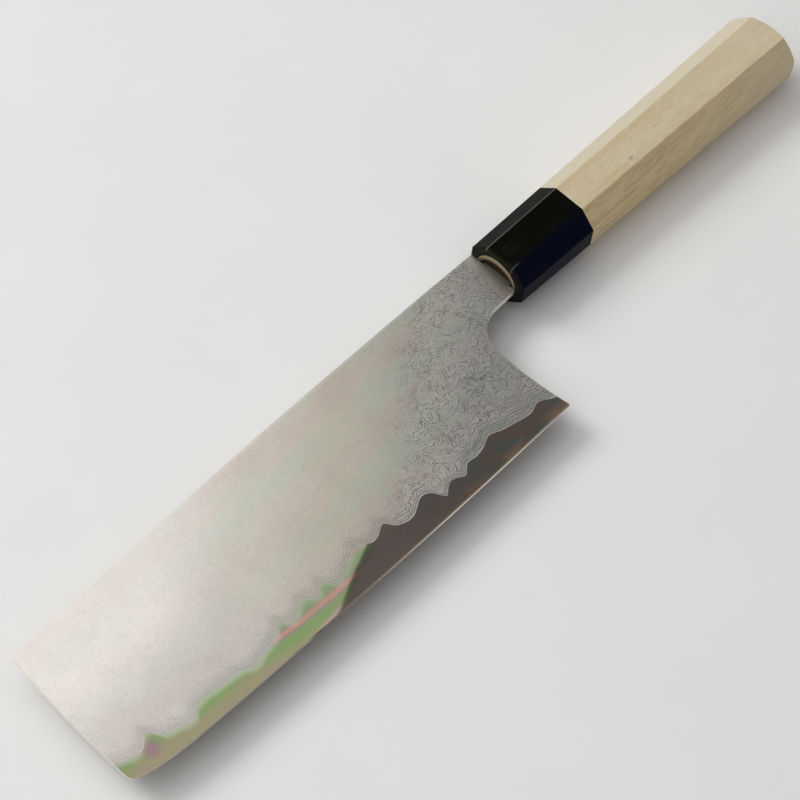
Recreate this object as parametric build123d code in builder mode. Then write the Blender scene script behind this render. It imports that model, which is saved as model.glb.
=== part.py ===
"""A nakiri kitchen knife: a laminated blade, a horn ferrule and an octagonal handle.

The knife lies on its right side. X runs from the blade's front to the butt, Y from the
cutting edge to the spine, and Z out of the blade's left face. The origin is under the
middle of the knife, at the height of the surface that it lies on.
"""
from build123d import *
from math import atan2, cos, sin, radians, tan
import os

# Blade outline, in millimetres
edge_length = 180.0  # from the heel to the blade's front
heel_offset = 18.0  # from the ferrule's face to the heel
blade_height = 57.8  # from the spine's crown to the lowest point of the edge
edge_radius = 3000.0  # the long curve of the edge
edge_lowest = 65.0  # from the ferrule's face to the lowest point of the edge
belly_reach = 22.0  # from the blade's front back to where the edge turns up
front_drop = 52.5  # from the spine's crown to the front corner
front_corner_radius = 3.6
front_rake = 3.2  # how far the spine's front end stands back
front_bow = 0.8
spine_crown = 98.0  # from the ferrule's face to the highest point of the spine
spine_drop_front = 1.5
spine_drop_neck = 0.9
tip_corner_radius = 0.8
heel_corner_radius = 0.7
neck_height = 17.8
neck_flare = 0.6  # how much the neck deepens towards the throat
choil_lean = 1.3
choil_bow = 1.5
throat_radius = 11.8

# Blade section
neck_thickness = 3.0
front_thickness = 2.0
station_shares = [0, 0.2, 0.4, 0.6, 0.8, 1]  # where the sections stand, from neck to front
section_foot = 3.0  # how far the wedge is drawn on below the edge
foot_thickness = 0.1
side_convexity = 0.25
bevel_angle = 14.0  # degrees, each side
keen_thickness = 0.04

# Laminations: a hard core between two softer claddings
core_at_edge = 0.5
core_at_spine = 1.1

# Tang
tang_length = 80.0
tang_width = 11.0
tang_end_width = 7.0
tang_thickness = 2.2
tang_corner = 2.0

# Ferrule and handle, both cut from one tapering octagon
handle_length = 132.0  # ferrule and wood together
ferrule_length = 32.5
ferrule_breadth = 21.3
ferrule_thickness = 18.6
ferrule_corner = 5.45
butt_breadth = 24.8
butt_thickness = 20.8
butt_corner = 6.2
ferrule_rise = 0.75  # the ferrule's top above the spine beside it
butt_rise = 0.5  # the butt's top above the spine's crown
butt_dome = 3.6
dome_lean = 1.6  # how far the dome's crest lies below the middle of the butt
ridge_easing = 0.5
rim_chamfer = 0.9

# Tenon, tang slot and seal inside the ferrule
bore_diameter = 15.4
bore_easing = 0.4
glue_line = 0.05
tenon_recess = 0.3
slot_clearance = 0.15
slot_end_room = 2.0
mouth_breadth = 13.0
mouth_thickness = 10.4
mouth_depth = 6.0
seal_recess = 0.8

# One overrun for every cut
overrun = 2.0

# The wavy line where the cladding ends, at its crests and troughs: shares of the edge's
# length from the heel, and of the blade's height above the edge
lamination_shares = [
    (-0.015, 0.10), (0.02, 0.105), (0.036, 0.13), (0.056, 0.115), (0.085, 0.125),
    (0.125, 0.158), (0.144, 0.177), (0.162, 0.156), (0.195, 0.143), (0.208, 0.145),
    (0.227, 0.105), (0.238, 0.122), (0.264, 0.12), (0.277, 0.092), (0.289, 0.145),
    (0.306, 0.178), (0.344, 0.13), (0.369, 0.14), (0.381, 0.166), (0.391, 0.206),
    (0.406, 0.186), (0.428, 0.17), (0.456, 0.212), (0.475, 0.182), (0.5, 0.143),
    (0.524, 0.13), (0.542, 0.184), (0.562, 0.142), (0.586, 0.182), (0.61, 0.143),
    (0.628, 0.136), (0.642, 0.177), (0.658, 0.138), (0.694, 0.109), (0.725, 0.088),
    (0.747, 0.114), (0.778, 0.122), (0.838, 0.123), (0.858, 0.083), (0.889, 0.103),
    (0.908, 0.116), (0.927, 0.186), (0.944, 0.142), (0.967, 0.128), (0.99, 0.155),
    (1.015, 0.185),
]

# Places worked out from the sizes above
half_share = 0.5
blade_reach = heel_offset + edge_length
overall_length = blade_reach + handle_length
ferrule_x = blade_reach - overall_length * half_share
crown_y = (blade_height - butt_rise) * half_share
middle_z = butt_thickness * half_share
neck_bottom = spine_drop_neck + neck_height
axis_drop_front = spine_drop_neck - ferrule_rise + ferrule_breadth * half_share
axis_drop_butt = butt_breadth * half_share - butt_rise
dome_drop = axis_drop_butt + dome_lean
dome_rim = butt_breadth * half_share
dome_radius = (dome_rim**2 / butt_dome + butt_dome) * half_share
dome_reach = dome_rim + dome_lean + overrun
dome_fall = dome_radius - (dome_radius**2 - dome_reach**2) ** 0.5
core_taper = atan2((core_at_spine - core_at_edge) * half_share, blade_height)

side = Plane(origin=(ferrule_x, crown_y, middle_z), x_dir=(1, 0, 0), z_dir=(0, 0, 1))


def spot(along, drop):
    """A point of the side view: distance behind the ferrule's face, drop below the crown."""
    return (along, -drop)


def station(along):
    """The plane across the knife at a distance behind the ferrule's face, up along its x."""
    return Plane(origin=side.from_local_coords((along, 0, 0)), x_dir=(0, 1, 0), z_dir=(1, 0, 0))


def edge_drop(along):
    """Drop of the edge's long curve below the spine's crown."""
    return blade_height - (along + edge_lowest) ** 2 * half_share / edge_radius


def nearest_corner(outline, point):
    """The corner of an outline that lies nearest to a point."""
    return outline.vertices().sort_by_distance(point)[0]


heel = spot(-heel_offset, edge_drop(-heel_offset))
lowest = spot(-edge_lowest, blade_height)
belly = spot(belly_reach - blade_reach, edge_drop(belly_reach - blade_reach))
front_corner = spot(-blade_reach, front_drop)
tip_corner = spot(-blade_reach + front_rake, spine_drop_front)
throat = spot(-heel_offset - choil_lean, neck_bottom + neck_flare)


def blade_section(reach_share):
    """The blade's convex wedge across the knife, drawn on past the spine and the edge."""
    along = -(blade_reach + overrun) * reach_share
    top = overrun
    foot = -edge_drop(along) - section_foot
    top_half = (neck_thickness + (front_thickness - neck_thickness) * reach_share) * half_share
    foot_half = foot_thickness * half_share
    bulge = ((top + foot) * half_share, (top_half + foot_half) * half_share + side_convexity)
    with BuildSketch(station(along)) as section:
        with BuildLine():
            left = ThreePointArc((top, top_half), bulge, (foot, foot_half))
            mirror(left, about=Plane.XZ)
            Line((top, top_half), (top, -top_half))
            Line((foot, foot_half), (foot, -foot_half))
        make_face()
    return section.sketch


def octagon(along):
    """The handle's octagon at a distance behind the ferrule's face."""
    grown = along / handle_length
    breadth = ferrule_breadth + (butt_breadth - ferrule_breadth) * grown
    thickness = ferrule_thickness + (butt_thickness - ferrule_thickness) * grown
    corner = ferrule_corner + (butt_corner - ferrule_corner) * grown
    drop = axis_drop_front + (axis_drop_butt - axis_drop_front) * grown
    with BuildSketch(station(along)) as section:
        with Locations((-drop, 0)):
            Rectangle(breadth, thickness)
        chamfer(section.vertices(), length=corner)
    return section.sketch


def octagonal_bar(start, end):
    """The handle's octagon between two distances behind the ferrule's face, with true flats."""
    with BuildPart() as bar:
        with BuildSketch(station(start)):
            with Locations((-axis_drop_butt, 0)):
                Rectangle(butt_breadth + overrun, butt_thickness + overrun)
        extrude(amount=end - start)
        front = octagon(0).face()
        for front_edge, butt_edge in zip(front.edges(), octagon(handle_length).face().edges()):
            outward = (front_edge @ half_share) - front.center()
            normal = (front_edge % 0).cross((butt_edge @ 0) - (front_edge @ 0))
            if normal.dot(outward) < 0:
                normal = -normal
            split(bisect_by=Plane(origin=front_edge @ 0, z_dir=normal), keep=Keep.BOTTOM)
    return bar.part


def tang_outline(room, end_room):
    """The tang from the side, grown by a clearance."""
    root = tang_width * half_share + room
    end = tang_end_width * half_share + room
    reach = tang_length + end_room
    with BuildSketch(side) as outline:
        with BuildLine():
            Polyline(
                spot(-overrun, axis_drop_front - root),
                spot(reach - tang_corner, axis_drop_front - end),
                spot(reach, axis_drop_front - end + tang_corner),
                spot(reach, axis_drop_front + end - tang_corner),
                spot(reach - tang_corner, axis_drop_front + end),
                spot(-overrun, axis_drop_front + root),
                close=True,
            )
        make_face()
    return outline.sketch


# The path of the edge, run on past the heel and the front corner, for the fine bevel
with BuildLine(side) as edge_path:
    behind_heel = spot(overrun - heel_offset, edge_drop(overrun - heel_offset))
    long_curve = ThreePointArc(behind_heel, lowest, belly)
    belly_curve = TangentArc(belly, front_corner, tangent=long_curve % 1)
    Line(belly_curve @ 1, belly_curve @ 1 + (belly_curve % 1) * overrun)

# What the fine bevel takes off each side, across the edge at the start of its path
bevel_slope = tan(radians(bevel_angle))
bevel_start = Plane(origin=long_curve @ 0, x_dir=(0, 1, 0), z_dir=long_curve % 0)
with BuildSketch(bevel_start) as bevel_cut:
    keen_half = keen_thickness * half_share
    with BuildLine():
        Polyline(
            (-overrun, keen_half - overrun * bevel_slope),
            (overrun, keen_half + overrun * bevel_slope),
            (overrun, neck_thickness),
            (-overrun, neck_thickness),
            close=True,
        )
    make_face()
    mirror(about=Plane.XZ)

# The whole forged blade with its tang, before it is told apart into layers
with BuildPart() as forging:
    loft(sections=[blade_section(share) for share in station_shares], ruled=True)
    with BuildSketch(side) as silhouette:
        with BuildLine():
            ThreePointArc(tip_corner, spot(-spine_crown, 0), spot(0, spine_drop_neck))
            Line(spot(0, spine_drop_neck), spot(0, neck_bottom))
            Line(spot(0, neck_bottom), throat)
            SagittaArc(heel, throat, choil_bow)
            edge_line = ThreePointArc(heel, lowest, belly)
            TangentArc(belly, front_corner, tangent=edge_line % 1)
            SagittaArc(front_corner, tip_corner, front_bow)
        make_face()
        fillet(nearest_corner(silhouette, throat), radius=throat_radius)
        fillet(nearest_corner(silhouette, heel), radius=heel_corner_radius)
        fillet(nearest_corner(silhouette, front_corner), radius=front_corner_radius)
        fillet(nearest_corner(silhouette, tip_corner), radius=tip_corner_radius)
    extrude(amount=neck_thickness, both=True, mode=Mode.INTERSECT)
    sweep(sections=bevel_cut.sketch, path=edge_path.line, mode=Mode.SUBTRACT)
    extrude(tang_outline(0, 0), amount=tang_thickness * half_share, both=True)

# The room of the left cladding: above the core's tapering face and above the wavy line
core_face = Plane(
    origin=side.from_local_coords((0, -blade_height, core_at_edge * half_share)),
    x_dir=(1, 0, 0),
    z_dir=(0, -sin(core_taper), cos(core_taper)),
)
with BuildPart() as left_layer:
    with BuildSketch(core_face) as layer_outline:
        with BuildLine():
            crests = []
            for along_share, up_share in lamination_shares:
                along = -heel_offset - along_share * edge_length
                lift = blade_height - edge_drop(along) + up_share * blade_height
                crests.append((along, lift))
            wavy_line = Spline(crests)
            Polyline(
                wavy_line @ 1,
                (-blade_reach - overrun, blade_height + overrun),
                (tang_length + overrun, blade_height + overrun),
                (tang_length + overrun, crests[0][1]),
                wavy_line @ 0,
            )
        make_face()
    extrude(amount=neck_thickness)

with BuildPart() as left_cladding:
    add(forging.part)
    add(left_layer.part, mode=Mode.INTERSECT)
left_cladding.part.label = "left_cladding"

with BuildPart() as right_cladding:
    mirror(left_cladding.part, about=side)
right_cladding.part.label = "right_cladding"

with BuildPart() as core_steel:
    add(forging.part)
    add(left_layer.part, mode=Mode.SUBTRACT)
    mirror(left_layer.part, about=side, mode=Mode.SUBTRACT)
core_steel.part.label = "core_steel"

# The horn ferrule: the octagon's front length, bored for the tenon
with BuildPart() as ferrule:
    add(octagonal_bar(0, ferrule_length))
    chamfer(ferrule.faces().sort_by(Axis.X)[0].edges(), length=rim_chamfer)
    back_edges = ferrule.faces().sort_by(Axis.X)[-1].edges()
    fillet(ferrule.edges() - back_edges, radius=ridge_easing)
    with BuildSketch(station(0)) as bore:
        with Locations((-axis_drop_front, 0)):
            Circle(bore_diameter * half_share)
    extrude(amount=ferrule_length, mode=Mode.SUBTRACT)
    mouth_edge = ferrule.edges().filter_by(GeomType.CIRCLE).group_by(Axis.X)[0]
    chamfer(mouth_edge, length=bore_easing)
ferrule.part.label = "ferrule"

# The wooden handle: the rest of the octagon, a tenon through the ferrule, a domed butt
with BuildPart() as handle_body:
    add(octagonal_bar(ferrule_length, handle_length))
    with BuildSketch(side) as dome_profile:
        with BuildLine():
            apex = spot(handle_length, dome_drop)
            start = spot(ferrule_length - overrun, dome_drop)
            dome_edge = spot(handle_length - dome_fall, dome_drop + dome_reach)
            dome_back = spot(ferrule_length - overrun, dome_drop + dome_reach)
            Line(start, apex)
            TangentArc(apex, dome_edge, tangent=(0, -1))
            Line(dome_edge, dome_back)
            Line(dome_back, start)
        make_face()
    butt_axis = Axis(side.from_local_coords(spot(0, dome_drop)), side.x_dir)
    revolve(axis=butt_axis, mode=Mode.INTERSECT)
    front_edges = handle_body.faces().sort_by(Axis.X)[0].edges()
    fillet(handle_body.edges() - front_edges, radius=ridge_easing)
    with BuildSketch(station(tenon_recess)) as tenon:
        with Locations((-axis_drop_front, 0)):
            Circle(bore_diameter * half_share - glue_line)
    extrude(amount=ferrule_length - tenon_recess)
    with BuildSketch(station(tenon_recess)) as mouth:
        with Locations((-axis_drop_front, 0)):
            Ellipse(mouth_breadth * half_share, mouth_thickness * half_share)
    extrude(amount=mouth_depth, mode=Mode.SUBTRACT)
    slot_half = tang_thickness * half_share + slot_clearance
    extrude(tang_outline(slot_clearance, slot_end_room), slot_half, both=True, mode=Mode.SUBTRACT)
handle_body.part.label = "handle_body"

# The resin that seals the tang in the mouth of its slot
with BuildPart() as tang_seal:
    with BuildSketch(station(tenon_recess + seal_recess)) as seal_outline:
        with Locations((-axis_drop_front, 0)):
            Ellipse(mouth_breadth * half_share - glue_line, mouth_thickness * half_share - glue_line)
    extrude(amount=mouth_depth - seal_recess)
    extrude(tang_outline(0, 0), tang_thickness * half_share, both=True, mode=Mode.SUBTRACT)
tang_seal.part.label = "tang_seal"

os.makedirs("parts", exist_ok=True)
export_step(core_steel.part, "parts/core_steel.step")
export_step(left_cladding.part, "parts/left_cladding.step")
export_step(right_cladding.part, "parts/right_cladding.step")
export_step(ferrule.part, "parts/ferrule.step")
export_step(handle_body.part, "parts/handle_body.step")
export_step(tang_seal.part, "parts/tang_seal.step")
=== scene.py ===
"""The nakiri knife on a pale floor, seen as in the photograph."""
import bpy
from math import pi, radians
from mathutils import Matrix, Vector

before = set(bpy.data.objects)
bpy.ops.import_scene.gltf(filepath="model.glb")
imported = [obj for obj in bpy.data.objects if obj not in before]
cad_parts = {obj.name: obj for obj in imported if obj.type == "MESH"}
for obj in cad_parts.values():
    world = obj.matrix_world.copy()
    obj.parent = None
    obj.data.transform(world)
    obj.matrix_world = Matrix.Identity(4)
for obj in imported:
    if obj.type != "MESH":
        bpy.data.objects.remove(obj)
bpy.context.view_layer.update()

# Places and measures of the knife, in millimetres, as its solids have them
MM = 0.001
ferrule_face_x = 33.0
handle_axis_y, handle_axis_z = 17.85, 10.4  # at the ferrule's face
upper_ridge_y = 23.05  # the ferrule's ridges on the left, toward the spine and the edge
lower_ridge_y = 12.65
heel_x = 15.0
edge_length = 180.0
blade_height = 57.8
crown_y = 28.65
edge_lowest_x = -32.0
edge_radius = 3000.0
mouth_breadth = 13.0
mouth_thickness = 10.4
fleck_place = (91.0, 14.2, 19.85)
purple_place = (-154.2, -20.4, 10.8)

# The wavy line where the cladding ends: shares of the edge's length from the heel, and of
# the blade's height above the edge
lamination_shares = [
    (-0.015, 0.10), (0.02, 0.105), (0.036, 0.13), (0.056, 0.115), (0.085, 0.125),
    (0.125, 0.158), (0.144, 0.177), (0.162, 0.156), (0.195, 0.143), (0.208, 0.145),
    (0.227, 0.105), (0.238, 0.122), (0.264, 0.12), (0.277, 0.092), (0.289, 0.145),
    (0.306, 0.178), (0.344, 0.13), (0.369, 0.14), (0.381, 0.166), (0.391, 0.206),
    (0.406, 0.186), (0.428, 0.17), (0.456, 0.212), (0.475, 0.182), (0.5, 0.143),
    (0.524, 0.13), (0.542, 0.184), (0.562, 0.142), (0.586, 0.182), (0.61, 0.143),
    (0.628, 0.136), (0.642, 0.177), (0.658, 0.138), (0.694, 0.109), (0.725, 0.088),
    (0.747, 0.114), (0.778, 0.122), (0.838, 0.123), (0.858, 0.083), (0.889, 0.103),
    (0.908, 0.116), (0.927, 0.186), (0.944, 0.142), (0.967, 0.128), (0.99, 0.155),
    (1.015, 0.185),
]
line_middle = 0.5


# Small helpers for node trees

def feed(tree, socket, value):
    """Gives a node's input a value, or a link where the value is another node's output."""
    if isinstance(value, bpy.types.NodeSocket):
        tree.links.new(value, socket)
    elif value is not None:
        socket.default_value = value


def math(tree, operation, first, second=None, third=None, clamp=False):
    """One step of arithmetic."""
    node = tree.nodes.new("ShaderNodeMath")
    node.operation = operation
    node.use_clamp = clamp
    for socket, value in zip(node.inputs, (first, second, third)):
        feed(tree, socket, value)
    return node.outputs["Value"]


def product(tree, first, *others):
    for other in others:
        first = math(tree, "MULTIPLY", first, other)
    return first


def ramp_between(tree, value, low, high, low_result=0.0, high_result=1.0):
    """A smooth step from one result to another while a value goes from low to high."""
    node = tree.nodes.new("ShaderNodeMapRange")
    node.interpolation_type = "SMOOTHSTEP"
    for name, setting in (
        ("Value", value), ("From Min", low), ("From Max", high),
        ("To Min", low_result), ("To Max", high_result),
    ):
        feed(tree, node.inputs[name], setting)
    return node.outputs["Result"]


def blend_numbers(tree, factor, first, second):
    node = tree.nodes.new("ShaderNodeMix")
    feed(tree, node.inputs["Factor"], factor)
    feed(tree, node.inputs["A"], first)
    feed(tree, node.inputs["B"], second)
    return node.outputs["Result"]


def paint(colour):
    """Three numbers as a colour with its alpha."""
    if isinstance(colour, tuple) and len(colour) == 3:
        return (*colour, 1.0)
    return colour


def blend_colours(tree, factor, first, second, blend="MIX"):
    node = tree.nodes.new("ShaderNodeMix")
    node.data_type = "RGBA"
    node.blend_type = blend
    colour_inputs = [socket for socket in node.inputs if socket.type == "RGBA"]
    feed(tree, node.inputs["Factor"], factor)
    for socket, value in zip(colour_inputs, (first, second)):
        feed(tree, socket, paint(value))
    return [socket for socket in node.outputs if socket.type == "RGBA"][0]


def laid_over(tree, ground, colour, *masks):
    """A ground with a colour over it, as much as its masks and strengths let show."""
    return blend_colours(tree, product(tree, *masks), ground, colour)


def shaded(tree, colour, shade):
    """A colour made lighter or darker by a value."""
    grey = tree.nodes.new("ShaderNodeCombineColor")
    for name in ("Red", "Green", "Blue"):
        feed(tree, grey.inputs[name], shade)
    return blend_colours(tree, 1.0, colour, grey.outputs["Color"], "MULTIPLY")


def colour_steps(tree, value, steps):
    """Colours along a value from 0 to 1."""
    node = tree.nodes.new("ShaderNodeValToRGB")
    node.color_ramp.interpolation = "EASE"
    elements = node.color_ramp.elements
    while len(elements) < len(steps):
        elements.new(1.0)
    for element, (place, colour) in zip(elements, steps):
        element.position = place
        element.color = paint(colour)
    feed(tree, node.inputs["Fac"], value)
    return node.outputs["Color"]


def separated(tree, vector):
    """A vector's X, Y and Z."""
    node = tree.nodes.new("ShaderNodeSeparateXYZ")
    feed(tree, node.inputs["Vector"], vector)
    return [node.outputs[axis] for axis in "XYZ"]


def stretched(tree, vector, scale, place=(0.0, 0.0, 0.0)):
    """A pattern's coordinates, stretched and moved."""
    node = tree.nodes.new("ShaderNodeMapping")
    feed(tree, node.inputs["Vector"], vector)
    node.inputs["Scale"].default_value = scale
    node.inputs["Location"].default_value = place
    return node.outputs["Vector"]


def distance_from(tree, place, point, scale=(1.0, 1.0, 1.0)):
    """The distance from a point, with each axis counted by its scale."""
    node = tree.nodes.new("ShaderNodeVectorMath")
    node.operation = "DISTANCE"
    feed(tree, node.inputs[0], stretched(tree, place, scale))
    node.inputs[1].default_value = [part * share for part, share in zip(point, scale)]
    return node.outputs["Value"]


def noise(tree, vector, scale, detail=2.0, roughness=0.5, distortion=0.0):
    node = tree.nodes.new("ShaderNodeTexNoise")
    feed(tree, node.inputs["Vector"], vector)
    feed(tree, node.inputs["Scale"], scale)
    feed(tree, node.inputs["Detail"], detail)
    feed(tree, node.inputs["Roughness"], roughness)
    feed(tree, node.inputs["Distortion"], distortion)
    return node.outputs["Fac"]


def grain(tree, place, along_x, scale, detail=2.0, roughness=0.5):
    """Noise drawn out along the knife: the smaller its share along X, the longer it runs."""
    return noise(tree, stretched(tree, place, (along_x, 1.0, 1.0)), scale, detail, roughness)


def group(name, inputs, outputs):
    """An empty shader node group with named sockets; returns it and its inner ends."""
    tree = bpy.data.node_groups.new(name, "ShaderNodeTree")
    for socket_name, kind, value in inputs:
        socket = tree.interface.new_socket(name=socket_name, in_out="INPUT", socket_type=kind)
        if value is not None:
            socket.default_value = value
    for socket_name, kind in outputs:
        tree.interface.new_socket(name=socket_name, in_out="OUTPUT", socket_type=kind)
    inside = tree.nodes.new("NodeGroupInput")
    result = tree.nodes.new("NodeGroupOutput")
    return tree, inside.outputs, result.inputs


def use(tree, shared, **settings):
    """Places a shared group; underscores in a setting's name stand for spaces."""
    node = tree.nodes.new("ShaderNodeGroup")
    node.node_tree = shared
    for name, value in settings.items():
        feed(tree, node.inputs[name.replace("_", " ")], value)
    return node.outputs


def finish_material(name):
    """A new material's tree, its principled shader and the object's millimetres."""
    material = bpy.data.materials.new(name)
    material.use_nodes = True
    tree = material.node_tree
    shader = tree.nodes["Principled BSDF"]
    place = tree.nodes.new("ShaderNodeTexCoord").outputs["Object"]
    millimetres = tree.nodes.new("ShaderNodeVectorMath")
    millimetres.operation = "SCALE"
    feed(tree, millimetres.inputs["Vector"], place)
    millimetres.inputs["Scale"].default_value = 1 / MM
    return material, tree, shader, millimetres.outputs["Vector"]


def facing_up(tree):
    """How squarely a face looks along Z: 1 on the blade's flats, 0 on its spine and front."""
    normal = tree.nodes.new("ShaderNodeNewGeometry").outputs["Normal"]
    return math(tree, "ABSOLUTE", separated(tree, normal)[2])


def thin_sides(tree, squareness):
    """1 on the blade's narrow faces: its spine, front and choil."""
    return ramp_between(tree, squareness, 0.8, 0.5)


def roughened(tree, roughness, *growths):
    """A finish's roughness, grown by each pair of a mask and what it adds."""
    for mask, growth in growths:
        roughness = math(tree, "MULTIPLY_ADD", mask, growth, roughness)
    return roughness


def relief(tree, shader, height, depth, strength=1.0):
    """Bump on the shader's normal from a height of 0 to 1 and its depth in millimetres."""
    bump = tree.nodes.new("ShaderNodeBump")
    feed(tree, bump.inputs["Height"], height)
    bump.inputs["Distance"].default_value = depth * MM
    bump.inputs["Strength"].default_value = strength
    feed(tree, shader.inputs["Normal"], bump.outputs["Normal"])


# Shared effects, each built once

def make_blade_map():
    """Where a point of the blade lies: along the edge, above the edge, above the wavy line."""
    tree, inside, result = group(
        "blade map",
        [("Place", "NodeSocketVector", None)],
        [("Along", "NodeSocketFloat"), ("Above Edge", "NodeSocketFloat"),
         ("Above Line", "NodeSocketFloat")],
    )
    x, y, _ = separated(tree, inside["Place"])
    along = math(tree, "DIVIDE", math(tree, "SUBTRACT", heel_x, x), edge_length)
    from_lowest = math(tree, "SUBTRACT", x, edge_lowest_x)
    curve_rise = math(tree, "DIVIDE", math(tree, "POWER", from_lowest, 2.0), 2 * edge_radius)
    above_lowest = math(tree, "ADD", y, blade_height - crown_y)
    above_edge = math(tree, "SUBTRACT", above_lowest, curve_rise)
    # Two curves, each over one half of the edge, so that the narrow crests stay sharp
    line_start, line_end = lamination_shares[0][0], lamination_shares[-1][0]
    halves = []
    for first_share, last_share in ((line_start, line_middle), (line_middle, line_end)):
        reach = last_share - first_share
        past_first = math(tree, "SUBTRACT", along, first_share)
        curve = tree.nodes.new("ShaderNodeFloatCurve")
        points = curve.mapping.curves[0].points
        shares = [pair for pair in lamination_shares if first_share <= pair[0] <= last_share]
        while len(points) < len(shares):
            points.new(1.0, 1.0)
        for point, (share, lift) in zip(points, shares):
            point.location = ((share - first_share) / reach, lift)
            point.handle_type = "AUTO"
        curve.mapping.update()
        feed(tree, curve.inputs["Value"], math(tree, "DIVIDE", past_first, reach, clamp=True))
        halves.append(curve.outputs["Value"])
    front_half = math(tree, "GREATER_THAN", along, line_middle)
    lift = product(tree, blend_numbers(tree, front_half, *halves), blade_height)
    feed(tree, result["Along"], along)
    feed(tree, result["Above Edge"], above_edge)
    feed(tree, result["Above Line"], math(tree, "SUBTRACT", above_edge, lift))
    return tree


# What every group that follows the blade's shape needs to know about a point
blade_inputs = [
    ("Place", "NodeSocketVector", None), ("Along", "NodeSocketFloat", 0.0),
    ("Above Edge", "NodeSocketFloat", 0.0), ("Above Line", "NodeSocketFloat", 0.0),
]


def make_layer_turns():
    """How many layers lie below a point: evenly spaced beside the wavy line, folded above it."""
    first_layer = 0.62  # height of the first layer above the wavy line
    even_until = 1.2  # height above the line where the layers begin to fold
    free_from, later_at_heel = 7.5, 8.0  # height where they fold freely, and its growth
    folded_ground = 8.0  # height above the edge that the folds are counted from
    fold_reach, ripple_reach, ripple_growth = 34.0, 1.6, 2.6
    spacing_by_line, spacing_growth = 0.82, 0.70
    tree, inside, result = group(
        "layer turns", blade_inputs,
        [("Turns", "NodeSocketFloat"), ("Freed", "NodeSocketFloat")],
    )
    place, above_line = inside["Place"], inside["Above Line"]
    by_the_heel = ramp_between(tree, inside["Along"], 0.25, 0.05)
    free_height = math(tree, "MULTIPLY_ADD", by_the_heel, later_at_heel, free_from)
    freed = ramp_between(tree, above_line, even_until, free_height)
    level = blend_numbers(
        tree, freed, math(tree, "SUBTRACT", above_line, first_layer),
        math(tree, "SUBTRACT", inside["Above Edge"], folded_ground),
    )
    folds = math(tree, "SUBTRACT", noise(tree, place, 0.085, 2.0, 0.5, 0.3), 0.5)
    ripples = math(tree, "SUBTRACT", noise(tree, place, 0.46, 2.0, 0.5), 0.5)
    level = math(tree, "MULTIPLY_ADD", folds, product(tree, freed, fold_reach), level)
    level = math(
        tree, "MULTIPLY_ADD", ripples,
        math(tree, "MULTIPLY_ADD", freed, ripple_growth, ripple_reach), level)
    spacing = math(tree, "MULTIPLY_ADD", freed, spacing_growth, spacing_by_line)
    feed(tree, result["Turns"], math(tree, "DIVIDE", level, spacing))
    feed(tree, result["Freed"], freed)
    return tree


def make_forged_layers():
    """Thin dark and light lines where the forged layers come to the surface."""
    step = 0.08  # to the neighbours that tell how closely the layers crowd
    thinnest, width_growth = 0.06, 0.26  # half a line's width
    core_of_line = 0.3  # the share of that width which stays fully dark
    tree, inside, result = group(
        "forged layers", blade_inputs,
        [("Dark", "NodeSocketFloat"), ("Light", "NodeSocketFloat")],
    )
    place, along = inside["Place"], inside["Along"]
    above_edge, above_line = inside["Above Edge"], inside["Above Line"]
    here = use(
        tree, layer_turns, Place=place, Along=along, Above_Edge=above_edge,
        Above_Line=above_line)
    unstretched = (1.0, 1.0, 1.0)
    ahead = use(
        tree, layer_turns, Place=stretched(tree, place, unstretched, (step, 0.0, 0.0)),
        Along=along, Above_Edge=above_edge, Above_Line=above_line)
    higher = use(
        tree, layer_turns, Place=stretched(tree, place, unstretched, (0.0, step, 0.0)),
        Along=along, Above_Edge=math(tree, "ADD", above_edge, step),
        Above_Line=math(tree, "ADD", above_line, step))
    climbs = [
        math(tree, "POWER", math(tree, "SUBTRACT", there["Turns"], here["Turns"]), 2.0)
        for there in (ahead, higher)
    ]
    crowding = math(tree, "DIVIDE", math(tree, "SQRT", math(tree, "ADD", *climbs)), step)

    # A layer's line lies where the count of layers is whole
    swing = math(tree, "PINGPONG", here["Turns"], 0.5)
    width_noise = noise(tree, place, 0.7, 1.0)
    half_width = product(
        tree, math(tree, "MULTIPLY_ADD", width_noise, width_growth, thinnest), crowding)
    dark = ramp_between(
        tree, swing, product(tree, half_width, core_of_line), half_width, 1.0, 0.0)
    light = product(
        tree, ramp_between(tree, swing, 0.14, 0.24),
        ramp_between(tree, swing, 0.28, 0.42, 1.0, 0.0))

    # Each layer has its own strength, and above the wavy line the lines break up
    each_layer = tree.nodes.new("ShaderNodeTexWhiteNoise")
    each_layer.noise_dimensions = "1D"
    feed(tree, each_layer.inputs["W"], math(tree, "ROUND", here["Turns"]))
    own_strength = math(tree, "MULTIPLY_ADD", each_layer.outputs["Value"], 0.65, 0.50)
    patches = ramp_between(tree, noise(tree, place, 0.20, 3.0, 0.65), 0.38, 0.58, 0.25, 1.0)
    dots = ramp_between(tree, noise(tree, place, 0.85, 2.0, 0.6), 0.42, 0.60, 0.5, 1.5)
    broken = product(tree, own_strength, patches, dots)
    beside_line = math(tree, "MULTIPLY_ADD", each_layer.outputs["Value"], 0.45, 0.60)
    kept = math(tree, "MINIMUM", blend_numbers(tree, here["Freed"], beside_line, broken), 1.0)
    faded = math(tree, "MULTIPLY_ADD", here["Freed"], -0.6, 1.0)
    feed(tree, result["Dark"], product(tree, dark, kept))
    feed(tree, result["Light"], product(tree, light, faded))
    return tree


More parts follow.
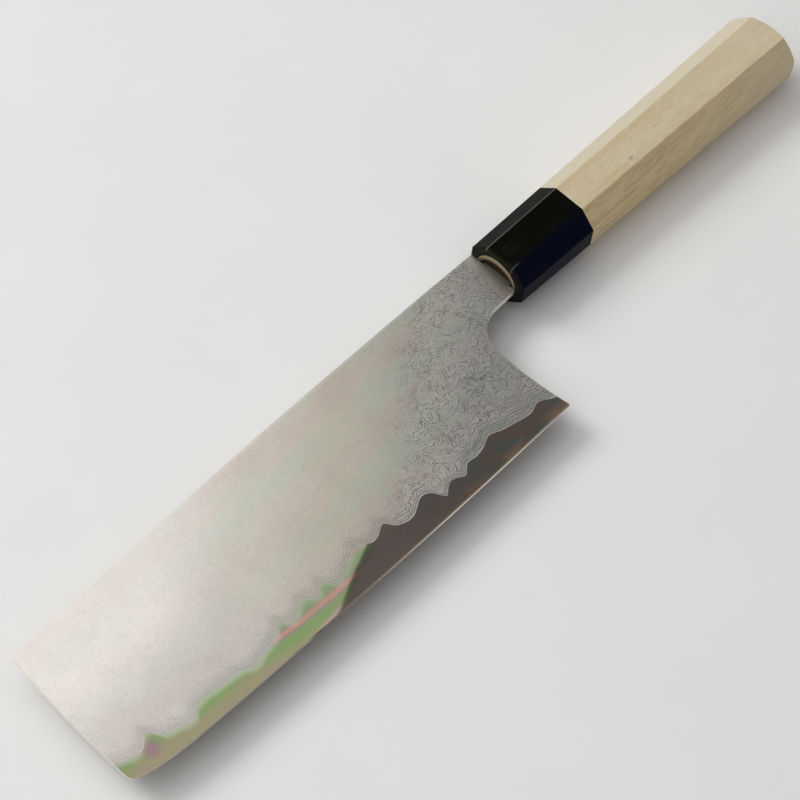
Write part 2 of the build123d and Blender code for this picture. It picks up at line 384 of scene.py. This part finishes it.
def make_film_tint():
    """The faint rose and green bands of a thin film on polished steel."""
    turns_each_millimetre = 0.105
    drift_reach, mottle_reach, speckle_reach = 2.2, 2.2, 0.6
    tree, inside, result = group(
        "film tint",
        [("Place", "NodeSocketVector", None), ("Above Edge", "NodeSocketFloat", 0.0),
         ("Strength", "NodeSocketFloat", 0.5)],
        [("Tint", "NodeSocketColor")],
    )
    place = inside["Place"]
    turns = product(tree, inside["Above Edge"], turns_each_millimetre)
    for pattern, reach in (
        (grain(tree, place, 0.5, 0.055, 3.0, 0.55), drift_reach),
        (grain(tree, place, 0.5, 0.27, 3.0, 0.65), mottle_reach),
        (noise(tree, place, 0.9, 3.0, 0.7), speckle_reach),
    ):
        turns = math(tree, "MULTIPLY_ADD", pattern, reach, turns)
    bands = colour_steps(tree, math(tree, "PINGPONG", turns, 1.0), [
        (0.0, (1.0, 0.91, 0.90)), (0.4, (1.0, 0.97, 0.93)), (0.75, (0.94, 1.0, 0.92)),
        (1.0, (0.94, 0.99, 0.96)),
    ])
    feed(tree, result["Tint"], blend_colours(tree, inside["Strength"], (1.0, 1.0, 1.0), bands))
    return tree


def make_fine_polish():
    """Hairlines left by fine stones, long and thin along X, and slow clouds between them."""
    tree, inside, result = group(
        "fine polish",
        [("Place", "NodeSocketVector", None),
         ("Hairlines Each Millimetre", "NodeSocketFloat", 5.0)],
        [("Hairlines", "NodeSocketFloat"), ("Clouds", "NodeSocketFloat")],
    )
    hairlines = grain(tree, inside["Place"], 0.03, inside["Hairlines Each Millimetre"], 2.0, 0.6)
    feed(tree, result["Hairlines"], hairlines)
    feed(tree, result["Clouds"], noise(tree, inside["Place"], 0.06, 4.0, 0.6))
    return tree


blade_map = make_blade_map()
layer_turns = make_layer_turns()
forged_layers = make_forged_layers()
film_tint = make_film_tint()
fine_polish = make_fine_polish()


# The claddings' colours, with painted shade and painted highlights among them
steel_by_tone_and_painted_shade = [
    (0.0, (0.765, 0.73, 0.69)), (0.28, (0.63, 0.60, 0.54)), (0.50, (0.58, 0.545, 0.475)),
    (0.75, (0.49, 0.483, 0.435)), (0.94, (0.39, 0.382, 0.352)),
]
low_front_steel = (0.572, 0.548, 0.515)
painted_neck_light = (0.66, 0.62, 0.56)
steel_by_the_ferrule = (0.33, 0.27, 0.22)
painted_spine_highlight = (0.90, 0.88, 0.84)
smudge_grey = (0.34, 0.33, 0.31)
line_shadow = (0.06, 0.055, 0.05)
light_layer = (0.80, 0.79, 0.74)
dark_layer = (0.10, 0.095, 0.085)
halo_steel = (0.84, 0.82, 0.77)
polished_side_and_painted_highlight = (0.93, 0.91, 0.87)


def steel_ground(tree, place, where, slant, clouds):
    """The claddings' colour, with its painted shade and painted highlights, before the layers are
    drawn on it.
    """
    x, y, _ = separated(tree, place)
    along, above_edge = where["Along"], where["Above Edge"]
    # Greyer toward the heel: partly the etched steel's own tone, partly painted shade where the
    # blade mirrors the dim room
    pale_slant, slant_reach = -110.0, 160.0
    tone_and_shade = math(
        tree, "DIVIDE", math(tree, "SUBTRACT", slant, pale_slant), slant_reach, clamp=True)
    steel = colour_steps(tree, tone_and_shade, steel_by_tone_and_painted_shade)
    steel = laid_over(
        tree, steel, low_front_steel, ramp_between(tree, along, 0.55, 0.85),
        ramp_between(tree, above_edge, 38.0, 16.0), 0.8)
    # Painted light: paler steel at the neck's end, by the ferrule, against the dark horn that the
    # blade mirrors there
    neck_light_mask = ramp_between(tree, x, ferrule_face_x - 4.5, ferrule_face_x - 0.5, 0.0, 0.65)
    steel = laid_over(tree, steel, painted_neck_light, neck_light_mask)
    steel = laid_over(
        tree, steel, steel_by_the_ferrule,
        ramp_between(tree, x, ferrule_face_x - 11.0, ferrule_face_x),
        ramp_between(tree, y, 20.0, 11.0), 0.6)
    tint_strength = product(
        tree, ramp_between(tree, along, 0.35, 0.75, 0.90, 0.45),
        ramp_between(tree, slant, 0.0, 26.0, 1.0, 0.55))
    tint = use(
        tree, film_tint, Place=place, Above_Edge=above_edge, Strength=tint_strength)["Tint"]
    steel = blend_colours(tree, 1.0, steel, tint, "MULTIPLY")
    fine_grain = grain(tree, place, 0.6, 1.3, 3.0, 0.7)
    steel = shaded(tree, steel, product(
        tree, ramp_between(tree, clouds, 0.3, 0.7, 0.96, 1.02),
        ramp_between(tree, fine_grain, 0.30, 0.70, 0.955, 1.035)))
    # Painted highlight: a paler band along the spine
    spine_highlight_mask = ramp_between(tree, y, crown_y - 1.5, crown_y - 0.3, 0.0, 0.22)
    steel = laid_over(tree, steel, painted_spine_highlight, spine_highlight_mask)
    smudges = ramp_between(tree, grain(tree, place, 0.8, 0.33, 4.0, 0.7), 0.62, 0.76, 0.0, 0.22)
    steel = laid_over(tree, steel, smudge_grey, smudges)
    near_line = ramp_between(tree, where["Above Line"], 5.5, 0.0, 0.0, 0.20)
    return laid_over(tree, steel, line_shadow, near_line)


def layered_steel():
    """Polished claddings: pale at the front, greyer at the heel (partly painted shade) and more
    figured there.
    """
    material, tree, shader, place = finish_material("layered steel")
    where = use(tree, blade_map, Place=place)
    above_line = where["Above Line"]
    layers = use(
        tree, forged_layers, Place=place, Along=where["Along"],
        Above_Edge=where["Above Edge"], Above_Line=above_line)
    x = separated(tree, place)[0]
    # The figure and the grey, partly painted shade, both end on a slant, from the neck's top to the
    # middle of the edge
    slant_lean, slant_foot_x = 1.17, -61.4
    ragged_reach = 26.0
    figure_start, figure_full = 2.0, 26.0
    slant_x = math(tree, "MULTIPLY_ADD", where["Above Edge"], slant_lean, slant_foot_x)
    slant = math(tree, "SUBTRACT", x, slant_x)
    ragged = math(tree, "MULTIPLY_ADD", noise(tree, place, 0.09, 2.0), ragged_reach, slant)
    figured = ramp_between(tree, ragged, figure_start, figure_full)
    smooth_neck = ramp_between(tree, x, ferrule_face_x - 7.0, ferrule_face_x - 2.0, 1.0, 0.25)
    by_the_line = product(
        tree, ramp_between(tree, above_line, 2.0, 6.0, 1.0, 0.0),
        ramp_between(tree, where["Along"], 0.40, 0.62, 0.40, 0.17))
    contrast = product(tree, math(tree, "MULTIPLY_ADD", figured, 0.88, 0.10), smooth_neck)
    contrast = math(tree, "ADD", contrast, by_the_line, clamp=True)

    polish = use(tree, fine_polish, Place=place)
    steel = steel_ground(tree, place, where, slant, polish["Clouds"])
    dark = product(tree, layers["Dark"], contrast)
    steel = laid_over(tree, steel, light_layer, layers["Light"], contrast, 0.45)
    steel = laid_over(tree, steel, dark_layer, dark, 0.85)
    # A bright halo runs along the wavy line itself
    steel = laid_over(
        tree, steel, halo_steel, ramp_between(tree, above_line, 0.25, 0.5, 1.0, 0.0),
        math(tree, "MULTIPLY_ADD", figured, 0.22, 0.06))
    # The narrow faces are paler: polished steel, and in part a painted highlight
    sides = thin_sides(tree, facing_up(tree))
    steel = laid_over(tree, steel, polished_side_and_painted_highlight, sides)
    feed(tree, shader.inputs["Base Color"], steel)

    shader.inputs["Metallic"].default_value = 1.0
    toward_neck = ramp_between(tree, x, -20.0, 25.0)
    feed(tree, shader.inputs["Roughness"], roughened(
        tree, 0.28, (polish["Hairlines"], 0.03), (toward_neck, 0.10), (sides, 0.15),
        (dark, 0.12)))
    etched_depth = 0.004
    relief(tree, shader, math(tree, "SUBTRACT", 1.0, dark), etched_depth)
    return material


# The core's colours: its film by height above the edge, and by blotches toward the heel
front_film_by_level = [
    (0.14, (0.25, 0.226, 0.14)), (0.23, (0.215, 0.238, 0.12)), (0.34, (0.17, 0.25, 0.10)),
    (0.43, (0.18, 0.25, 0.11)), (0.495, (0.21, 0.205, 0.16)), (0.545, (0.37, 0.212, 0.16)),
    (0.58, (0.37, 0.212, 0.16)), (0.65, (0.23, 0.205, 0.165)), (0.71, (0.18, 0.245, 0.13)),
    (0.92, (0.20, 0.25, 0.14)), (1.0, (0.27, 0.19, 0.17)),
]
heel_film_by_blotch = [
    (0.28, (0.245, 0.29, 0.26)), (0.42, (0.26, 0.26, 0.225)), (0.53, (0.31, 0.26, 0.225)),
    (0.64, (0.325, 0.235, 0.195)), (0.76, (0.34, 0.21, 0.175)),
]
plain_brown = (0.325, 0.27, 0.235)
dark_heel = (0.08, 0.07, 0.06)
painted_warm_highlight = (0.58, 0.37, 0.24)
haze_brown = (0.25, 0.215, 0.17)
pale_film = (0.40, 0.42, 0.35)
patch_purple = (0.25, 0.158, 0.178)
patch_rim = (0.31, 0.225, 0.13)
painted_bevel_shade = (0.13, 0.105, 0.08)
painted_belly_highlight = (0.62, 0.56, 0.42)
painted_keen_highlight = (0.60, 0.56, 0.50)
painted_core_side_highlight = (0.85, 0.82, 0.76)


def film_by_level(tree, along, above_edge, toward_front, wander):
    """The core's front half: bands of film colour that rise a little toward the front."""
    steep_rise, gentle_rise = (7.4, -4.15), (3.5, -0.95)  # growth along the edge, and start
    wander_reach = math(tree, "MULTIPLY_ADD", toward_front, -5.9, 7.0)
    height = math(tree, "MULTIPLY_ADD", wander, wander_reach, above_edge)
    rise = math(tree, "MAXIMUM", *(
        math(tree, "MULTIPLY_ADD", along, growth, start)
        for growth, start in (steep_rise, gentle_rise)))
    front_rise = ramp_between(tree, along, 0.60, 0.78, 0.0, 1.9)
    height = math(tree, "SUBTRACT", math(tree, "SUBTRACT", height, rise), front_rise)
    lowest, film_height = -3.0, 14.0
    level = math(tree, "DIVIDE", math(tree, "SUBTRACT", height, lowest), film_height)
    # Past the stripe's front end only its lower colours are left
    highest = ramp_between(tree, along, 0.70, 0.73, 1.0, 0.40)
    return colour_steps(tree, math(tree, "MINIMUM", level, highest), front_film_by_level)


def film_by_blotch(tree, along, above_edge, wander, blotches):
    """The core's heel half: brown, with blotches at the heel and a painted warm highlight by the
    edge.
    """
    film = colour_steps(tree, blotches, heel_film_by_blotch)
    film = laid_over(tree, film, plain_brown, ramp_between(tree, along, 0.16, 0.38, 0.0, 0.75))
    film = laid_over(tree, film, dark_heel, ramp_between(tree, along, 0.42, 0.27, 0.0, 0.21))
    # Painted highlight: a warm gleam along the edge at the heel
    return laid_over(
        tree, film, painted_warm_highlight, ramp_between(tree, above_edge, 4.2, 0.8),
        ramp_between(tree, along, 0.36, 0.02, 0.15, 0.75), ramp_between(tree, wander, -0.12, 0.1))


def hard_core():
    """The mirror-polished core: film colours by height above the edge, browner at the heel."""
    material, tree, shader, place = finish_material("hard core")
    where = use(tree, blade_map, Place=place)
    along, above_edge = where["Along"], where["Above Edge"]
    wander = math(tree, "SUBTRACT", grain(tree, place, 0.35, 0.25, 2.0), 0.5)
    # The film's colours end on a slant, which bends toward the front just above the edge
    slant_lean = 0.0145  # share of the edge's length for each millimetre above the edge
    film_start, film_full = 0.54, 0.585
    slant = math(tree, "MULTIPLY_ADD", above_edge, slant_lean, along)
    slant = math(tree, "SUBTRACT", slant, ramp_between(tree, above_edge, 3.2, 0.0, 0.0, 0.06))
    toward_front = ramp_between(tree, slant, film_start, film_full)
    toward_heel = ramp_between(tree, slant, film_full, film_start)
    blotches = grain(tree, place, 0.45, 0.30, 3.0, 0.5)
    film = blend_colours(
        tree, toward_front, film_by_blotch(tree, along, above_edge, wander, blotches),
        film_by_level(tree, along, above_edge, toward_front, wander))
    film = laid_over(tree, film, haze_brown, ramp_between(tree, blotches, 0.50, 0.72, 0.0, 0.25))
    film = laid_over(
        tree, film, pale_film, ramp_between(tree, where["Above Line"], -2.4, -0.1, 0.0, 0.55),
        toward_front, ramp_between(tree, along, 0.5, 0.75, 0.4, 1.0))

    # A small purple patch near the front corner, in a tan rim
    from_patch = distance_from(tree, place, purple_place)
    film = laid_over(
        tree, film, patch_rim, ramp_between(tree, from_patch, 3.0, 4.2),
        ramp_between(tree, from_patch, 4.6, 6.4, 0.22, 0.0))
    film = laid_over(tree, film, patch_purple, ramp_between(tree, from_patch, 0.8, 4.2, 0.9, 0.0))

    # The fine bevel, the keen edge and the narrow sides: painted shade on the bevel toward the
    # heel, painted highlights on the belly's bevel, the keen edge and the sides
    squareness = facing_up(tree)
    bevel = ramp_between(tree, squareness, 0.985, 0.976)
    belly = product(tree, bevel, ramp_between(tree, along, 0.61, 0.68))
    sides = thin_sides(tree, squareness)
    # Painted shade: the bevel darkened toward the heel
    film = laid_over(tree, film, painted_bevel_shade, bevel, toward_heel)
    # Painted highlight: the bevel paler at the belly
    film = laid_over(tree, film, painted_belly_highlight, belly)
    # Painted highlight: a pale line along the keen edge toward the heel
    film = laid_over(
        tree, film, painted_keen_highlight, ramp_between(tree, above_edge, 0.14, 0.28, 1.0, 0.0),
        ramp_between(tree, along, 0.02, 0.15, 0.45, 1.0), ramp_between(tree, along, 0.54, 0.26))
    # Painted highlight: the narrow sides paler
    film = laid_over(tree, film, painted_core_side_highlight, sides)
    feed(tree, shader.inputs["Base Color"], film)

    shader.inputs["Metallic"].default_value = 1.0
    polish = use(tree, fine_polish, Place=place, Hairlines_Each_Millimetre=7.0)
    feed(tree, shader.inputs["Roughness"], roughened(
        tree, 0.01, (polish["Hairlines"], 0.02), (belly, 0.40), (sides, 0.35)))
    return material


# The horn's colours
painted_blue_reflection_horn = (0.0025, 0.0035, 0.014)
olive_black_horn = (0.004, 0.0045, 0.003)
fibre_horn = (0.03, 0.028, 0.022)
worn_horn = (0.022, 0.021, 0.012)
painted_horn_highlight = (0.11, 0.11, 0.10)


def buffalo_horn():
    """Polished black horn, olive-black, with a painted blue reflection below, painted highlight
    lines and faint pale fibres.
    """
    material, tree, shader, place = finish_material("buffalo horn")
    x, y, z = separated(tree, place)
    fibres = grain(tree, place, 0.12, 0.55, 4.0, 0.6)
    toward_spine = ramp_between(tree, y, 10.5, 14.5)
    # Painted reflection: blue-black on the facets toward the edge, olive-black toward the spine
    horn = blend_colours(tree, toward_spine, painted_blue_reflection_horn, olive_black_horn)
    horn = laid_over(tree, horn, fibre_horn, ramp_between(tree, fibres, 0.56, 0.78, 0.0, 0.25))
    worn = ramp_between(tree, x, ferrule_face_x + 0.4, ferrule_face_x + 1.6, 1.0, 0.0)
    horn = laid_over(tree, horn, worn_horn, worn, 0.5)

    # Painted highlights: light lines on the upper ridge, the front rim and the lower ridge's start
    from_upper = math(tree, "ABSOLUTE", math(tree, "SUBTRACT", y, upper_ridge_y))
    from_lower = math(tree, "ABSOLUTE", math(tree, "SUBTRACT", y, lower_ridge_y))
    upper_ridge = product(
        tree, ramp_between(tree, from_upper, 0.10, 0.34, 1.0, 0.0),
        ramp_between(tree, z, 18.4, 19.0), ramp_between(tree, fibres, 0.35, 0.55, 0.35, 0.8))
    front_rim = product(
        tree, ramp_between(tree, x, ferrule_face_x + 0.25, ferrule_face_x + 0.5, 1.0, 0.0),
        ramp_between(tree, y, 17.5, 21.5), ramp_between(tree, z, 19.05, 19.3))
    lower_ridge = product(
        tree, ramp_between(tree, from_lower, 0.10, 0.30, 0.7, 0.0),
        ramp_between(tree, x, ferrule_face_x + 5.0, ferrule_face_x + 1.0))
    highlight_lines = math(
        tree, "MAXIMUM", upper_ridge, math(tree, "MAXIMUM", front_rim, lower_ridge))
    # Painted highlight lines laid over the horn
    horn = laid_over(tree, horn, painted_horn_highlight, highlight_lines)
    feed(tree, shader.inputs["Base Color"], horn)

    shader.inputs["Specular IOR Level"].default_value = 0.018
    polish = use(tree, fine_polish, Place=place, Hairlines_Each_Millimetre=3.0)
    feed(tree, shader.inputs["Roughness"], roughened(
        tree, 0.10, (polish["Hairlines"], 0.10), (worn, 0.18)))
    return material


# The wood's colours
wood_by_band = [
    (0.25, (0.58, 0.47, 0.27)), (0.45, (0.65, 0.545, 0.335)), (0.60, (0.68, 0.57, 0.365)),
    (0.80, (0.61, 0.50, 0.30)),
]
fibre_brown = (0.47, 0.375, 0.23)
dash_brown = (0.46, 0.36, 0.215)
mottle_cream = (0.70, 0.605, 0.44)
pore_brown = (0.44, 0.34, 0.20)
painted_shade_ochre = (0.74, 0.545, 0.26)
streak_brown = (0.45, 0.33, 0.165)
painted_top_sheen = (0.62, 0.59, 0.50)
streak_olive = (0.40, 0.38, 0.20)
ridge_orange = (0.66, 0.47, 0.28)
butt_cream = (0.70, 0.61, 0.46)
fleck_grey = (0.26, 0.22, 0.21)
tenon_olive = (0.29, 0.235, 0.135)
scorched_brown = (0.03, 0.018, 0.006)


def scorched_tenon(tree, wood, place):
    """The tenon's end, scorched where the hot tang was driven in."""
    x = separated(tree, place)[0]
    tenon_end = ramp_between(tree, x, ferrule_face_x + 3.0, ferrule_face_x + 6.0, 1.0, 0.0)
    wood = laid_over(tree, wood, tenon_olive, tenon_end, 0.9)
    from_axis = distance_from(
        tree, place, (0.0, handle_axis_y, handle_axis_z),
        (0.0, mouth_thickness / mouth_breadth, 1.0))
    mouth_wall = mouth_thickness / 2
    scorch = ramp_between(tree, from_axis, mouth_wall + 0.3, mouth_wall + 1.1, 1.0, 0.0)
    return laid_over(tree, wood, scorched_brown, tenon_end, scorch, 0.95)


def pale_wood():
    """Unvarnished pale wood: long fibres, slow growth bands, a warm streak and a small fleck."""
    material, tree, shader, place = finish_material("pale wood")
    x, y, z = separated(tree, place)
    bands = noise(tree, stretched(tree, place, (0.05, 0.9, 0.55)), 0.30, 3.0, 0.55, 0.4)
    wood = colour_steps(tree, bands, wood_by_band)
    fibres = grain(tree, place, 0.10, 2.8, 3.0, 0.65)
    dashes = grain(tree, place, 0.22, 1.3, 2.0, 0.6)
    mottle = grain(tree, place, 0.55, 0.16, 3.0, 0.6)
    pores = grain(tree, place, 0.6, 1.6, 2.0, 0.7)
    for pattern, start, end, strength, colour in (
        (fibres, 0.35, 0.75, 0.22, fibre_brown), (dashes, 0.46, 0.68, 0.34, dash_brown),
        (mottle, 0.42, 0.72, 0.5, mottle_cream), (pores, 0.50, 0.72, 0.30, pore_brown),
    ):
        wood = laid_over(tree, wood, colour, ramp_between(tree, pattern, start, end, 0.0, strength))

    # The flats toward the edge are painted warmer as shade, with slanting streaks, and the top is
    # painted greyer as a sheen
    toward_edge = ramp_between(tree, y, 13.0, 11.0)
    # Painted shade: the flats toward the edge warmer
    wood = laid_over(tree, wood, painted_shade_ochre, toward_edge, 0.5)
    slanting = tree.nodes.new("ShaderNodeVectorRotate")
    slanting.rotation_type = "Z_AXIS"
    slanting.inputs["Angle"].default_value = radians(-5.0)
    feed(tree, slanting.inputs["Vector"], place)
    streaks = grain(tree, slanting.outputs["Vector"], 0.09, 0.85, 3.0, 0.6)
    wood = laid_over(
        tree, wood, streak_brown, ramp_between(tree, streaks, 0.46, 0.62), toward_edge, 0.45)
    # Painted sheen: the top flat greyer and paler
    wood = laid_over(tree, wood, painted_top_sheen, ramp_between(tree, y, 22.8, 23.6), 0.45)
    olive_streaks = noise(tree, stretched(tree, place, (0.03, 1.0, 0.7)), 0.6, 2.0)
    wood = laid_over(
        tree, wood, streak_olive, ramp_between(tree, y, 13.5, 10.5),
        ramp_between(tree, olive_streaks, 0.5, 0.62), 0.35)

    # A warm streak below the upper ridge, and a paler butt
    wood = laid_over(
        tree, wood, ridge_orange, ramp_between(tree, y, 19.8, 21.6),
        ramp_between(tree, y, 22.4, 24.0, 1.0, 0.0), ramp_between(tree, z, 14.0, 18.0),
        ramp_between(tree, grain(tree, place, 0.06, 0.5, 2.0), 0.38, 0.6), 0.5)
    wood = laid_over(tree, wood, butt_cream, ramp_between(tree, x, 95.0, 160.0, 0.0, 0.4))

    # A small grey fleck on the left flat, longer than it is wide
    from_fleck = distance_from(tree, place, fleck_place, (0.55, 1.0, 1.0))
    wood = laid_over(tree, wood, fleck_grey, ramp_between(tree, from_fleck, 0.25, 0.9, 0.75, 0.0))
    wood = scorched_tenon(tree, wood, place)
    feed(tree, shader.inputs["Base Color"], wood)

    feed(tree, shader.inputs["Roughness"], roughened(tree, 0.45, (fibres, 0.2)))
    shader.inputs["Specular IOR Level"].default_value = 0.4
    fibre_depth = 0.03
    relief(tree, shader, fibres, fibre_depth, 0.6)
    return material


def burnt_resin():
    """Dark resin, rough where the hot tang charred it."""
    material, tree, shader, place = finish_material("burnt resin")
    char = noise(tree, place, 0.8, 4.0, 0.65)
    feed(tree, shader.inputs["Base Color"], colour_steps(tree, char, [
        (0.3, (0.014, 0.009, 0.003)), (0.6, (0.026, 0.016, 0.005)), (0.8, (0.05, 0.03, 0.012)),
    ]))
    feed(tree, shader.inputs["Roughness"], roughened(tree, 0.7, (char, 0.2)))
    shader.inputs["Specular IOR Level"].default_value = 0.1
    char_depth = 0.15
    relief(tree, shader, char, char_depth)
    return material


cladding_finish = layered_steel()
finishes = {
    "core_steel": hard_core(),
    "left_cladding": cladding_finish,
    "right_cladding": cladding_finish,
    "ferrule": buffalo_horn(),
    "handle_body": pale_wood(),
    "tang_seal": burnt_resin(),
}
for node_name, finish in finishes.items():
    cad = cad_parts[node_name]
    cad.data.materials.clear()
    cad.data.materials.append(finish)

# The floor, in metres from here on

floor_half = 6.0
floor_drop = 0.0002
floor_mesh = bpy.data.meshes.new("floor")
corners = [(-floor_half, -floor_half, 0), (floor_half, -floor_half, 0),
           (floor_half, floor_half, 0), (-floor_half, floor_half, 0)]
floor_mesh.from_pydata(corners, [], [(0, 1, 2, 3)])
floor = bpy.data.objects.new("floor", floor_mesh)
floor.location.z = -floor_drop
bpy.context.scene.collection.objects.link(floor)
floor_finish, floor_tree, floor_shader, floor_place = finish_material("pale floor")
paper = noise(floor_tree, floor_place, 0.02, 3.0, 0.6)
feed(floor_tree, floor_shader.inputs["Base Color"], colour_steps(floor_tree, paper, [
    (0.3, (0.885, 0.875, 0.855)), (0.7, (0.90, 0.89, 0.87)),
]))
floor_shader.inputs["Roughness"].default_value = 0.9
floor_mesh.materials.append(floor_finish)


# The lamps

def lamp(name, place, size, radiance, turn=0.0, aim=None):
    """A rectangular lamp; its radiance is what a mirror would show."""
    light = bpy.data.lights.new(name, "AREA")
    light.shape = "RECTANGLE"
    light.size, light.size_y = size
    light.energy = radiance * size[0] * size[1] * pi
    holder = bpy.data.objects.new(name, light)
    if aim is None:
        turned = Matrix.Rotation(radians(turn), 4, "Z")
    else:
        turned = (Vector(place) - Vector(aim)).to_track_quat("Z", "Y").to_matrix().to_4x4()
    holder.matrix_world = Matrix.Translation(place) @ turned
    bpy.context.scene.collection.objects.link(holder)


# The softbox: one long side lies where the blade mirrors it across the core, and its end
# where the blade's neck does
edge_start = Vector((0.575, 0.337, 1.5))
edge_turn = 28.2
softbox_length, softbox_depth = 3.6, 2.4
softbox_end = 0.36
lengthwise = Matrix.Rotation(radians(edge_turn), 3, "Z") @ Vector((1.0, 0.0, 0.0))
crosswise = Matrix.Rotation(radians(edge_turn), 3, "Z") @ Vector((0.0, 1.0, 0.0))
softbox_place = (edge_start + crosswise * softbox_depth / 2
                 + lengthwise * (softbox_end - softbox_length / 2))
lamp("softbox", softbox_place, (softbox_length, softbox_depth), radiance=1.0, turn=edge_turn)
lamp("strip", place=(0.70, -0.32, 1.5), size=(0.36, 0.16), radiance=1.05)
lamp("faint strip", place=(0.43, -0.32, 1.5), size=(0.18, 0.16), radiance=0.45)
lamp("key", place=(-0.9, 2.0, 2.0), size=(1.2, 1.2), radiance=7.5, aim=(0, 0, 0))

# The world: pale near the horizon for what looks at it or mirrors it, dim above and in its light
horizon_white = (0.78, 0.775, 0.765)
ceiling_grey = (0.28, 0.28, 0.285)
dim_light = (0.24, 0.24, 0.245)
world = bpy.data.worlds.new("studio")
bpy.context.scene.world = world
world.use_nodes = True
sky = world.node_tree
direction = sky.nodes.new("ShaderNodeTexCoord").outputs["Generated"]
seen_sky = colour_steps(sky, separated(sky, direction)[2], [
    (0.0, horizon_white), (0.22, horizon_white), (0.62, ceiling_grey), (1.0, ceiling_grey),
])
rays = sky.nodes.new("ShaderNodeLightPath")
seen = math(sky, "MAXIMUM", rays.outputs["Is Camera Ray"], rays.outputs["Is Glossy Ray"])
seen = math(sky, "MAXIMUM", seen, rays.outputs["Is Transmission Ray"])
sky_colour = blend_colours(sky, seen, dim_light, seen_sky)
feed(sky, sky.nodes["Background"].inputs["Color"], sky_colour)

# The camera, at the photograph's viewing angle
camera_place = (-0.46627, -0.29312, 0.87138)
looking = Vector((0.43910, 0.29678, -0.84801)).normalized()
upward = Vector((0.59439, 0.61182, 0.52189))
camera_data = bpy.data.cameras.new("camera")
camera_data.sensor_width = 36.0
camera_data.lens = 153.63
camera_data.clip_start = 0.05
camera = bpy.data.objects.new("camera", camera_data)
rightward = looking.cross(upward).normalized()
upward = rightward.cross(looking)
turned = Matrix((rightward, upward, -looking)).transposed().to_4x4()
camera.matrix_world = Matrix.Translation(camera_place) @ turned
bpy.context.scene.collection.objects.link(camera)
bpy.context.scene.camera = camera

bpy.context.scene.view_settings.view_transform = "Standard"
